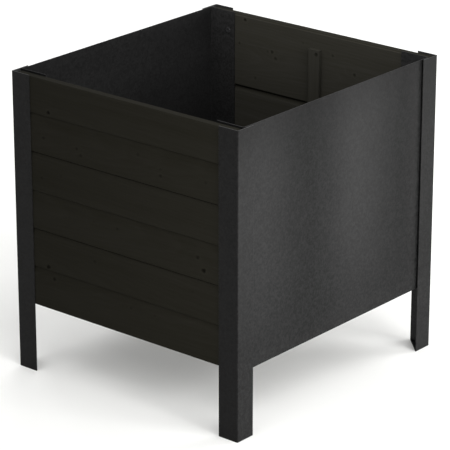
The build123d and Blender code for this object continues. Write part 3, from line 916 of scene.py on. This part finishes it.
class PLANTER_OT_spacers(bpy.types.Operator):
    """Build the strips that set the steel walls back behind the legs"""

    bl_idname = "planter.spacers"
    bl_label = "Spacer strips"

    def execute(self, context):
        steel = context.scene.planter_steel
        material = shared_material("black_powder_coated_steel", coated_steel, steel, PLAIN_EDGE_LIFT)
        eased_at_corners("leg_spacer", steel.edge_rounding, 2, material)
        return {"FINISHED"}


class PLANTER_OT_panels(bpy.types.Operator):
    """Build the two folded steel walls"""

    bl_idname = "planter.panels"
    bl_label = "Steel walls"

    def execute(self, context):
        steel = context.scene.planter_steel
        material = shared_material("black_powder_coated_wall_steel", coated_steel, steel, WALL_EDGE_LIFT)
        for x_side in SIDES:
            node = f"steel_panel_{X_NAMES[x_side]}"
            eased_copy(node, f"{node}_coated", steel.edge_rounding, 3, material)
        return {"FINISHED"}


class PLANTER_OT_screws(bpy.types.Operator):
    """Build the screws of the walls, battens and floor"""

    bl_idname = "planter.screws"
    bl_label = "Screws"

    def execute(self, context):
        oiled = shared_material("blackened_screw_steel", screw_steel, 0.8, *OILED_COLOURS)
        # The batten screws were stained over with the wood.
        stained = shared_material("stained_over_screw_steel", screw_steel, 0.02, *STAINED_COLOURS)
        screws = [(f"{name}_corner_screws", oiled) for name in Y_NAMES.values()]
        screws += [(f"{name}_batten_screws", stained) for name in Y_NAMES.values()]
        screws += [(f"floor_screws_{name}", oiled) for name in X_NAMES.values()]
        for node, material in screws:
            eased_copy(node, f"{node}_coated", SCREW_ROUNDING, 2, material)
        return {"FINISHED"}


class PLANTER_OT_stage(bpy.types.Operator):
    """Set up the pale floor, the soft studio lights and the camera"""

    bl_idname = "planter.stage"
    bl_label = "Studio"

    def execute(self, context):
        stage = context.scene.planter_stage
        mesh = bpy.data.meshes.new("floor")
        shape = bmesh.new()
        bmesh.ops.create_grid(shape, x_segments=8, y_segments=8, size=stage.floor_size / 2)
        shape.to_mesh(mesh)
        shape.free()
        paint = shared_material("matt_off_white_paint", painted_floor, stage.floor_colour)
        mesh.materials.append(paint)
        floor = bpy.data.objects.new("floor", mesh)
        context.scene.collection.objects.link(floor)

        world = bpy.data.worlds.new("studio_room")
        context.scene.world = world
        world.use_nodes = True
        background = world.node_tree.nodes["Background"]
        background.inputs["Color"].default_value = (1, 1, 1, 1)
        background.inputs["Strength"].default_value = stage.room_level

        for name, power, azimuth, elevation in SOFTBOXES:
            lamp = bpy.data.lights.new(name, "AREA")
            lamp.shape = "SQUARE"
            lamp.size = SOFTBOX_SIDE
            lamp.energy = power
            light = bpy.data.objects.new(name, lamp)
            way = direction(math.radians(azimuth), math.radians(elevation))
            light.location = BOX_MIDDLE + SOFTBOX_DISTANCE * way
            # A low softbox still stands clear of the floor.
            light.location.z = max(light.location.z, LOWEST_SOFTBOX)
            light.rotation_mode = "QUATERNION"
            light.rotation_quaternion = (BOX_MIDDLE - light.location).to_track_quat("-Z", "Y")
            context.scene.collection.objects.link(light)

        lens = bpy.data.cameras.new("camera")
        lens.lens = stage.camera_lens
        lens.sensor_width = SENSOR_WIDTH
        camera = bpy.data.objects.new("camera", lens)
        back = direction(stage.camera_azimuth, stage.camera_elevation)
        camera.location = Vector(stage.camera_target) + back * stage.camera_distance
        camera.rotation_mode = "QUATERNION"
        camera.rotation_quaternion = (-back).to_track_quat("-Z", "Y")
        context.scene.collection.objects.link(camera)
        context.scene.camera = camera
        context.scene.view_settings.view_transform = "Standard"
        return {"FINISHED"}


class PLANTER_PT_pieces(bpy.types.Panel):
    """Builds the planter box piece by piece"""

    bl_label = "Planter Box"
    bl_idname = "PLANTER_PT_pieces"
    bl_space_type = "VIEW_3D"
    bl_region_type = "UI"
    bl_category = "Planter"

    def draw(self, context):
        for settings in ("planter_wood", "planter_steel", "planter_stage"):
            box = self.layout.box()
            group = getattr(context.scene, settings)
            for name in group.__annotations__:
                box.prop(group, name)
        for operator in OPERATORS:
            self.layout.operator(operator.bl_idname)


OPERATORS = (
    PLANTER_OT_stage, PLANTER_OT_boards, PLANTER_OT_battens, PLANTER_OT_slats, PLANTER_OT_panels,
    PLANTER_OT_legs, PLANTER_OT_foot_plates, PLANTER_OT_spacers, PLANTER_OT_screws,
)
GROUPS = (
    ("planter_wood", PlanterWoodSettings),
    ("planter_steel", PlanterSteelSettings),
    ("planter_stage", PlanterStageSettings),
)


def register():
    for name, group in GROUPS:
        bpy.utils.register_class(group)
        setattr(bpy.types.Scene, name, bpy.props.PointerProperty(type=group))
    for operator in OPERATORS:
        bpy.utils.register_class(operator)
    bpy.utils.register_class(PLANTER_PT_pieces)


def unregister():
    bpy.utils.unregister_class(PLANTER_PT_pieces)
    for operator in reversed(OPERATORS):
        bpy.utils.unregister_class(operator)
    for name, group in reversed(GROUPS):
        delattr(bpy.types.Scene, name)
        bpy.utils.unregister_class(group)


def main():
    """Register the add-on and build every piece in order."""
    register()
    bpy.ops.planter.stage()
    bpy.ops.planter.boards()
    bpy.ops.planter.battens()
    bpy.ops.planter.slats()
    bpy.ops.planter.panels()
    bpy.ops.planter.legs()
    bpy.ops.planter.foot_plates()
    bpy.ops.planter.spacers()
    bpy.ops.planter.screws()


if __name__ == "__main__":
    main()
